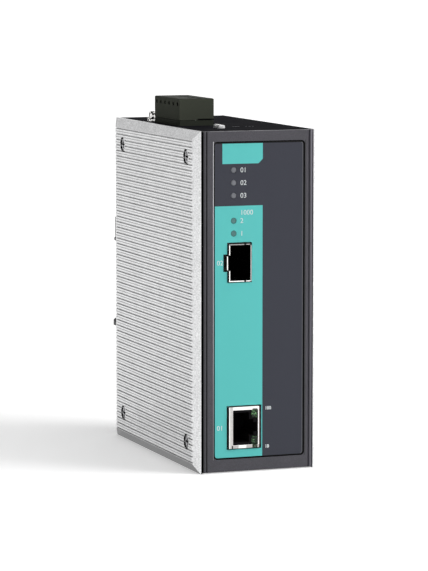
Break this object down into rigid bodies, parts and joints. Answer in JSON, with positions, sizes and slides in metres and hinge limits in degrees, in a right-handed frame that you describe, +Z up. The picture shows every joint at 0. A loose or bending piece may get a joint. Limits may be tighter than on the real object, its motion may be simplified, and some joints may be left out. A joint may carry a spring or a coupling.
{
  "type": "fibre media converter",
  "caption": "Narrow rail-mounted fibre media converter with grooved aluminium sides, a module slot, an RJ45 jack and a plug-in screw terminal on top.",
  "frame": {"origin": "centre of the flat bottom face of the case, midway between front and rear", "axes": "+X to the right seen from the front, +Y from the front to the rear, +Z up"},
  "size_m": [0.0522, 0.1138, 0.1459],
  "materials": {
    "case_black": "fine matt black powder coat",
    "cover_grey": "dark grey fine-textured coat",
    "label_film": "printed satin film, slate with a teal band",
    "panel_aluminium": "brushed, clear anodised",
    "screw_steel": "plated steel",
    "ground_steel": "bright nickel plate",
    "lens_clear": "diffused clear plastic",
    "lamp_body": "lamp package",
    "board_green": "green solder mask on glass laminate",
    "standoff_brass": "nickel-free brass",
    "link_black": "moulded black nylon",
    "jack_tin": "tinned sheet",
    "jack_black": "moulded black nylon",
    "contact_gilt": "gold flash",
    "jack_green": "green tinted plastic",
    "cage_steel": "plated spring sheet",
    "socket_black": "moulded black nylon",
    "terminal_black": "moulded olive-black nylon",
    "pin_tin": "tinned brass",
    "clamp_steel": "zinc plated steel",
    "switch_white": "moulded white",
    "lever_ivory": "moulded ivory",
    "clip_black": "black plated steel",
    "spring_steel": "spring wire",
    "ferrite": "ferrite and tape",
    "capacitor_sleeve": "shrunk sleeve",
    "relay_blue": "moulded relay case",
    "module_black": "moulded component",
    "can_steel": "pressed can",
    "heatsink_aluminium": "black anodised"
  },
  "bodies": {
    "unit": {"chassis": "case_black", "front_cover": "cover_grey", "front_overlay": "label_film", "left_side_panel": "panel_aluminium", "right_side_panel": "panel_aluminium", "left_panel_screws": "screw_steel", "right_panel_screws": "screw_steel", "board_screws": "screw_steel", "din_plate_screws": "screw_steel", "ground_screw": "ground_steel", "ground_washers": "ground_steel", "power_lens_1": "lens_clear", "power_lens_2": "lens_clear", "fault_lens": "lens_clear", "port_lens_1": "lens_clear", "port_lens_2": "lens_clear", "status_lamps": "lamp_body", "main_board": "board_green", "terminal_board": "board_green", "board_standoffs": "standoff_brass", "board_link": "link_black", "dip_stand": "link_black", "rj45_shield": "jack_tin", "rj45_insert": "jack_black", "rj45_contacts": "contact_gilt", "rj45_light_pipes": "jack_green", "sfp_cage": "cage_steel", "sfp_connector": "socket_black", "terminal_header": "terminal_black", "header_pins": "pin_tin", "dip_switch": "switch_white", "din_plate": "clip_black", "power_transformer": "ferrite", "choke": "ferrite", "bulk_capacitors": "capacitor_sleeve", "fault_relay": "relay_blue", "isolation_magnetics": "module_black", "converter_chip": "module_black", "crystal": "can_steel", "chip_heatsink": "heatsink_aluminium"},
    "terminal_plug": {"terminal_plug": "terminal_black", "plug_contacts": "pin_tin"},
    "clamp_screw_1": {"clamp_screw_1": "clamp_steel"},
    "wire_clamp_1": {"wire_clamp_1": "clamp_steel"},
    "clamp_screw_2": {"clamp_screw_2": "clamp_steel"},
    "wire_clamp_2": {"wire_clamp_2": "clamp_steel"},
    "clamp_screw_3": {"clamp_screw_3": "clamp_steel"},
    "wire_clamp_3": {"wire_clamp_3": "clamp_steel"},
    "clamp_screw_4": {"clamp_screw_4": "clamp_steel"},
    "wire_clamp_4": {"wire_clamp_4": "clamp_steel"},
    "clamp_screw_5": {"clamp_screw_5": "clamp_steel"},
    "wire_clamp_5": {"wire_clamp_5": "clamp_steel"},
    "clamp_screw_6": {"clamp_screw_6": "clamp_steel"},
    "wire_clamp_6": {"wire_clamp_6": "clamp_steel"},
    "dip_lever_1": {"dip_lever_1": "lever_ivory"},
    "dip_lever_2": {"dip_lever_2": "lever_ivory"},
    "dip_lever_3": {"dip_lever_3": "lever_ivory"},
    "rail_spring": {"rail_spring": "spring_steel"}
  },
  "joints": [
    {"name": "terminal_plug_pull", "type": "slide", "parent": "unit", "child": "terminal_plug", "axis": [0, 0, 1], "range_m": [0, 0.012]},
    {"name": "clamp_screw_1_turn", "type": "hinge", "parent": "terminal_plug", "child": "clamp_screw_1", "pos_m": [-0.0194, -0.0139, 0.14365], "axis": [1, 0, 0], "range_deg": [0, 1440]},
    {"name": "wire_clamp_1_travel", "type": "slide", "parent": "terminal_plug", "child": "wire_clamp_1", "axis": [-1, 0, 0], "range_m": [0, 0.002]},
    {"name": "clamp_screw_2_turn", "type": "hinge", "parent": "terminal_plug", "child": "clamp_screw_2", "pos_m": [-0.0194, -0.00882, 0.14365], "axis": [1, 0, 0], "range_deg": [0, 1440]},
    {"name": "wire_clamp_2_travel", "type": "slide", "parent": "terminal_plug", "child": "wire_clamp_2", "axis": [-1, 0, 0], "range_m": [0, 0.002]},
    {"name": "clamp_screw_3_turn", "type": "hinge", "parent": "terminal_plug", "child": "clamp_screw_3", "pos_m": [-0.0194, -0.00374, 0.14365], "axis": [1, 0, 0], "range_deg": [0, 1440]},
    {"name": "wire_clamp_3_travel", "type": "slide", "parent": "terminal_plug", "child": "wire_clamp_3", "axis": [-1, 0, 0], "range_m": [0, 0.002]},
    {"name": "clamp_screw_4_turn", "type": "hinge", "parent": "terminal_plug", "child": "clamp_screw_4", "pos_m": [-0.0194, 0.00134, 0.14365], "axis": [1, 0, 0], "range_deg": [0, 1440]},
    {"name": "wire_clamp_4_travel", "type": "slide", "parent": "terminal_plug", "child": "wire_clamp_4", "axis": [-1, 0, 0], "range_m": [0, 0.002]},
    {"name": "clamp_screw_5_turn", "type": "hinge", "parent": "terminal_plug", "child": "clamp_screw_5", "pos_m": [-0.0194, 0.00642, 0.14365], "axis": [1, 0, 0], "range_deg": [0, 1440]},
    {"name": "wire_clamp_5_travel", "type": "slide", "parent": "terminal_plug", "child": "wire_clamp_5", "axis": [-1, 0, 0], "range_m": [0, 0.002]},
    {"name": "clamp_screw_6_turn", "type": "hinge", "parent": "terminal_plug", "child": "clamp_screw_6", "pos_m": [-0.0194, 0.0115, 0.14365], "axis": [1, 0, 0], "range_deg": [0, 1440]},
    {"name": "wire_clamp_6_travel", "type": "slide", "parent": "terminal_plug", "child": "wire_clamp_6", "axis": [-1, 0, 0], "range_m": [0, 0.002]},
    {"name": "dip_lever_1_slide", "type": "slide", "parent": "unit", "child": "dip_lever_1", "axis": [1, 0, 0], "range_m": [0, 0.0009]},
    {"name": "dip_lever_2_slide", "type": "slide", "parent": "unit", "child": "dip_lever_2", "axis": [1, 0, 0], "range_m": [0, 0.0009]},
    {"name": "dip_lever_3_slide", "type": "slide", "parent": "unit", "child": "dip_lever_3", "axis": [1, 0, 0], "range_m": [0, 0.0009]},
    {"name": "rail_spring_press", "type": "slide", "parent": "unit", "child": "rail_spring", "axis": [0, 0, 1], "range_m": [0, 0.0016], "stiffness_N_per_m": 2000}
  ],
  "couplings": [
    {"joint": "clamp_screw_1_turn", "follows": "wire_clamp_1_travel", "rad_per_m": 12566},
    {"joint": "clamp_screw_2_turn", "follows": "wire_clamp_2_travel", "rad_per_m": 12566},
    {"joint": "clamp_screw_3_turn", "follows": "wire_clamp_3_travel", "rad_per_m": 12566},
    {"joint": "clamp_screw_4_turn", "follows": "wire_clamp_4_travel", "rad_per_m": 12566},
    {"joint": "clamp_screw_5_turn", "follows": "wire_clamp_5_travel", "rad_per_m": 12566},
    {"joint": "clamp_screw_6_turn", "follows": "wire_clamp_6_travel", "rad_per_m": 12566}
  ]
}
